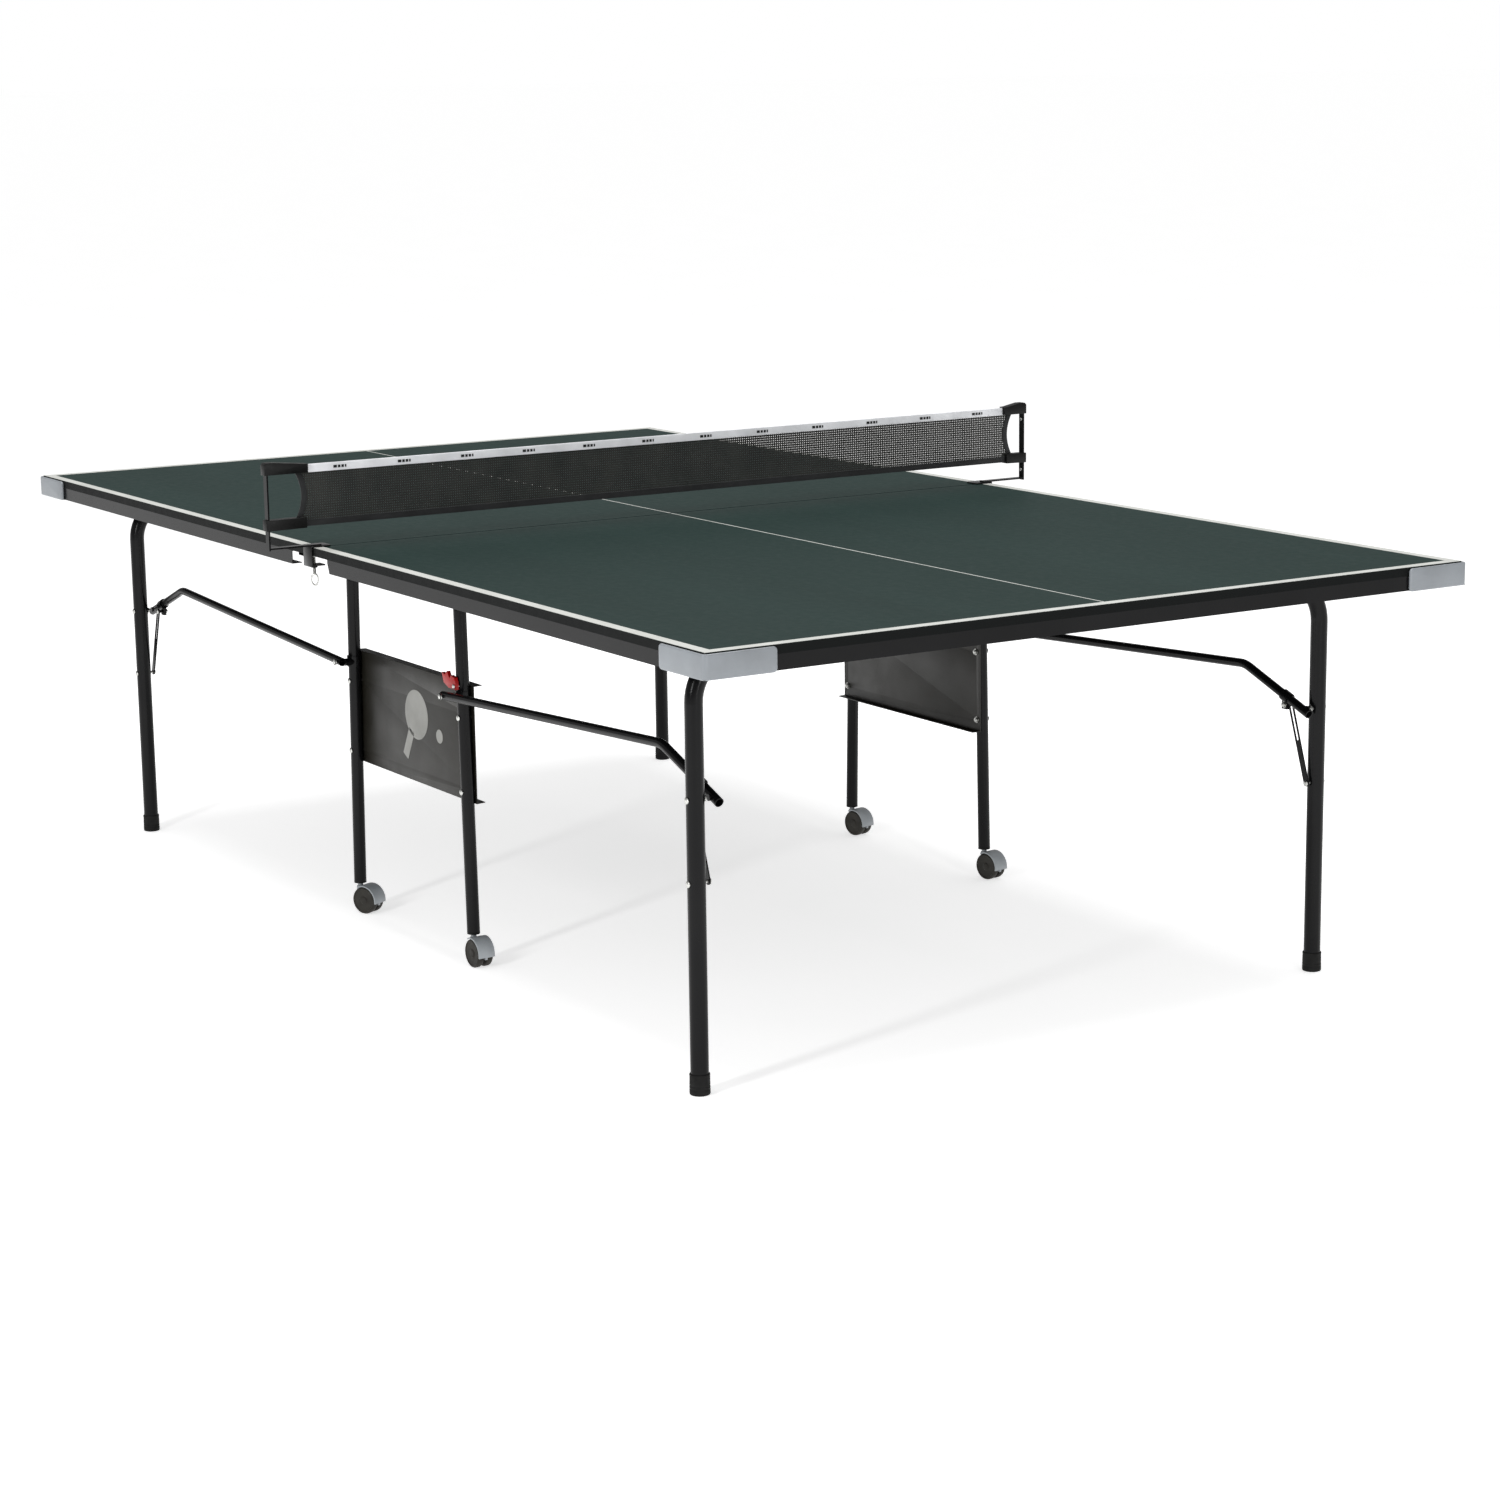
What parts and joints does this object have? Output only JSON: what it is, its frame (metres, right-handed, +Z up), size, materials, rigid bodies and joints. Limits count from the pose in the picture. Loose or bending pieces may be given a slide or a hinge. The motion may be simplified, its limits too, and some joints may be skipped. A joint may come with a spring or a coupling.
{
  "type": "ping pong table",
  "caption": "Folding ping pong table on a rolling undercarriage: two half tops on fold-flat leg hoops, bent braces, side panels, swivel casters and a clamp-on net.",
  "frame": {"origin": "on the floor, midway between the four feet and under the middle of the net", "axes": "+X along the length of the table, +Y across its width, +Z up"},
  "size_m": [2.752, 1.704, 0.9205],
  "materials": {
    "green_board": "painted particle board, dark green matt top with white lines and a dark edge band",
    "black_steel": "black gloss powder coat on steel tube and folded sheet",
    "panel_steel": "dark satin powder coat on folded sheet steel",
    "silver_plastic": "moulded silver grey plastic, slightly metallic",
    "grey_plastic": "moulded grey plastic",
    "wheel_plastic": "dark brown-black moulded tyre and hub",
    "black_rubber": "moulded black rubber",
    "black_plastic": "moulded black plastic",
    "red_plastic": "moulded red plastic",
    "zinc_steel": "zinc plated steel",
    "white_tape": "white woven tape",
    "dark_netting": "dark knotted polyester netting and tape"
  },
  "bodies": {
    "undercarriage": {"inner_hoop_west": "black_steel", "inner_hoop_east": "black_steel", "side_panels": "panel_steel", "panel_bolts": "zinc_steel", "brace_brackets": "black_steel", "caster_sockets": "black_plastic"},
    "top_west": {"board_west": "green_board", "side_rails_west": "black_steel", "end_rail_west": "black_steel", "cross_rails_west": "black_steel", "corner_pads_west": "silver_plastic", "top_hinges_west": "black_steel", "leg_hinges_west": "black_steel", "board_screws_west": "zinc_steel", "clamp_jaws": "black_steel"},
    "legs_west": {"leg_hoop_west": "black_steel", "foot_caps_west": "black_rubber", "leg_bolts_west": "zinc_steel"},
    "latch_west": {"latch_west": "red_plastic"},
    "top_east": {"board_east": "green_board", "side_rails_east": "black_steel", "end_rail_east": "black_steel", "cross_rails_east": "black_steel", "corner_pads_east": "silver_plastic", "top_hinges_east": "black_steel", "leg_hinges_east": "black_steel", "board_screws_east": "zinc_steel"},
    "legs_east": {"leg_hoop_east": "black_steel", "foot_caps_east": "black_rubber", "leg_bolts_east": "zinc_steel"},
    "latch_east": {"latch_east": "red_plastic"},
    "brace_west_front": {"brace_west_front": "black_steel", "brace_pins_west_front": "zinc_steel"},
    "stay_west_front": {"stay_west_front": "black_steel"},
    "caster_west_front": {"caster_hood_west_front": "grey_plastic"},
    "wheels_west_front": {"caster_wheels_west_front": "wheel_plastic"},
    "brace_west_back": {"brace_west_back": "black_steel", "brace_pins_west_back": "zinc_steel"},
    "stay_west_back": {"stay_west_back": "black_steel"},
    "caster_west_back": {"caster_hood_west_back": "grey_plastic"},
    "wheels_west_back": {"caster_wheels_west_back": "wheel_plastic"},
    "brace_east_front": {"brace_east_front": "black_steel", "brace_pins_east_front": "zinc_steel"},
    "stay_east_front": {"stay_east_front": "black_steel"},
    "caster_east_front": {"caster_hood_east_front": "grey_plastic"},
    "wheels_east_front": {"caster_wheels_east_front": "wheel_plastic"},
    "brace_east_back": {"brace_east_back": "black_steel", "brace_pins_east_back": "zinc_steel"},
    "stay_east_back": {"stay_east_back": "black_steel"},
    "caster_east_back": {"caster_hood_east_back": "grey_plastic"},
    "wheels_east_back": {"caster_wheels_east_back": "wheel_plastic"},
    "net_set": {"net": "dark_netting", "net_band": "white_tape", "net_hem": "dark_netting", "net_clips": "black_plastic", "net_posts": "black_steel", "post_rivets": "zinc_steel", "clamp_plates": "black_steel"},
    "screw_front": {"clamp_screw_front": "zinc_steel"},
    "screw_back": {"clamp_screw_back": "zinc_steel"}
  },
  "joints": [
    {"name": "fold_west", "type": "hinge", "parent": "undercarriage", "child": "top_west", "pos_m": [-0.18, 0, 0.732], "axis": [0, 1, 0], "range_deg": [0, 90]},
    {"name": "leg_fold_west", "type": "hinge", "parent": "top_west", "child": "legs_west", "pos_m": [-1.1015, 0, 0.712], "axis": [0, 1, 0], "range_deg": [-90, 0]},
    {"name": "latch_turn_west", "type": "hinge", "parent": "undercarriage", "child": "latch_west", "pos_m": [-0.229, 0.5955, 0.519], "axis": [0, -1, 0], "range_deg": [0, 35]},
    {"name": "fold_east", "type": "hinge", "parent": "undercarriage", "child": "top_east", "pos_m": [0.18, 0, 0.732], "axis": [0, -1, 0], "range_deg": [0, 90]},
    {"name": "leg_fold_east", "type": "hinge", "parent": "top_east", "child": "legs_east", "pos_m": [1.1015, 0, 0.712], "axis": [0, -1, 0], "range_deg": [-90, 0]},
    {"name": "latch_turn_east", "type": "hinge", "parent": "undercarriage", "child": "latch_east", "pos_m": [0.229, -0.5955, 0.519], "axis": [0, 1, 0], "range_deg": [0, 35]},
    {"name": "brace_swing_west_front", "type": "hinge", "parent": "undercarriage", "child": "brace_west_front", "pos_m": [-0.22, -0.611, 0.502], "axis": [0, 1, 0], "range_deg": [0, 90]},
    {"name": "stay_swing_west_front", "type": "hinge", "parent": "legs_west", "child": "stay_west_front", "pos_m": [-1.1415, -0.62325, 0.347], "axis": [0, 1, 0], "range_deg": [-17.2, 0]},
    {"name": "caster_swivel_west_front", "type": "hinge", "parent": "undercarriage", "child": "caster_west_front", "pos_m": [-0.23776, -0.578, 0.06], "axis": [0, 0, 1], "continuous": true},
    {"name": "wheel_roll_west_front", "type": "hinge", "parent": "caster_west_front", "child": "wheels_west_front", "pos_m": [-0.22158, -0.57011, 0.0265], "axis": [-0.4384, 0.8988, 0], "continuous": true},
    {"name": "brace_swing_west_back", "type": "hinge", "parent": "undercarriage", "child": "brace_west_back", "pos_m": [-0.22, 0.611, 0.502], "axis": [0, 1, 0], "range_deg": [0, 90]},
    {"name": "stay_swing_west_back", "type": "hinge", "parent": "legs_west", "child": "stay_west_back", "pos_m": [-1.1415, 0.62325, 0.347], "axis": [0, 1, 0], "range_deg": [-17.2, 0]},
    {"name": "caster_swivel_west_back", "type": "hinge", "parent": "undercarriage", "child": "caster_west_back", "pos_m": [-0.23776, 0.578, 0.06], "axis": [0, 0, 1], "continuous": true},
    {"name": "wheel_roll_west_back", "type": "hinge", "parent": "caster_west_back", "child": "wheels_west_back", "pos_m": [-0.22015, 0.58174, 0.0265], "axis": [-0.2079, 0.9781, 0], "continuous": true},
    {"name": "brace_swing_east_front", "type": "hinge", "parent": "undercarriage", "child": "brace_east_front", "pos_m": [0.22, -0.611, 0.502], "axis": [0, -1, 0], "range_deg": [0, 90]},
    {"name": "stay_swing_east_front", "type": "hinge", "parent": "legs_east", "child": "stay_east_front", "pos_m": [1.1415, -0.62325, 0.347], "axis": [0, -1, 0], "range_deg": [-17.2, 0]},
    {"name": "caster_swivel_east_front", "type": "hinge", "parent": "undercarriage", "child": "caster_east_front", "pos_m": [0.23776, -0.578, 0.06], "axis": [0, 0, 1], "continuous": true},
    {"name": "wheel_roll_east_front", "type": "hinge", "parent": "caster_east_front", "child": "wheels_east_front", "pos_m": [0.25575, -0.57737, 0.0265], "axis": [-0.0349, 0.9994, 0], "continuous": true},
    {"name": "brace_swing_east_back", "type": "hinge", "parent": "undercarriage", "child": "brace_east_back", "pos_m": [0.22, 0.611, 0.502], "axis": [0, -1, 0], "range_deg": [0, 90]},
    {"name": "stay_swing_east_back", "type": "hinge", "parent": "legs_east", "child": "stay_east_back", "pos_m": [1.1415, 0.62325, 0.347], "axis": [0, -1, 0], "range_deg": [-17.2, 0]},
    {"name": "caster_swivel_east_back", "type": "hinge", "parent": "undercarriage", "child": "caster_east_back", "pos_m": [0.23776, 0.578, 0.06], "axis": [0, 0, 1], "continuous": true},
    {"name": "wheel_roll_east_back", "type": "hinge", "parent": "caster_east_back", "child": "wheels_east_back", "pos_m": [0.25548, 0.58113, 0.0265], "axis": [-0.1736, 0.9848, 0], "continuous": true},
    {"name": "net_lift", "type": "slide", "parent": "undercarriage", "child": "net_set", "axis": [0, 0, 1], "range_m": [0, 0.25]},
    {"name": "screw_turn_front", "type": "hinge", "parent": "top_west", "child": "screw_front", "pos_m": [-0.017, -0.75, 0.72], "axis": [0, 0, 1], "continuous": true},
    {"name": "screw_turn_back", "type": "hinge", "parent": "top_west", "child": "screw_back", "pos_m": [-0.017, 0.75, 0.72], "axis": [0, 0, 1], "continuous": true}
  ],
  "couplings": [
    {"joint": "leg_fold_west", "follows": "fold_west", "ratio": -1},
    {"joint": "leg_fold_east", "follows": "fold_east", "ratio": -1},
    {"joint": "brace_swing_west_front", "follows": "fold_west", "ratio": 1},
    {"joint": "stay_swing_west_front", "follows": "fold_west", "ratio": -0.18991},
    {"joint": "brace_swing_west_back", "follows": "fold_west", "ratio": 1},
    {"joint": "stay_swing_west_back", "follows": "fold_west", "ratio": -0.18991},
    {"joint": "brace_swing_east_front", "follows": "fold_east", "ratio": 1},
    {"joint": "stay_swing_east_front", "follows": "fold_east", "ratio": -0.18991},
    {"joint": "brace_swing_east_back", "follows": "fold_east", "ratio": 1},
    {"joint": "stay_swing_east_back", "follows": "fold_east", "ratio": -0.18991}
  ]
}
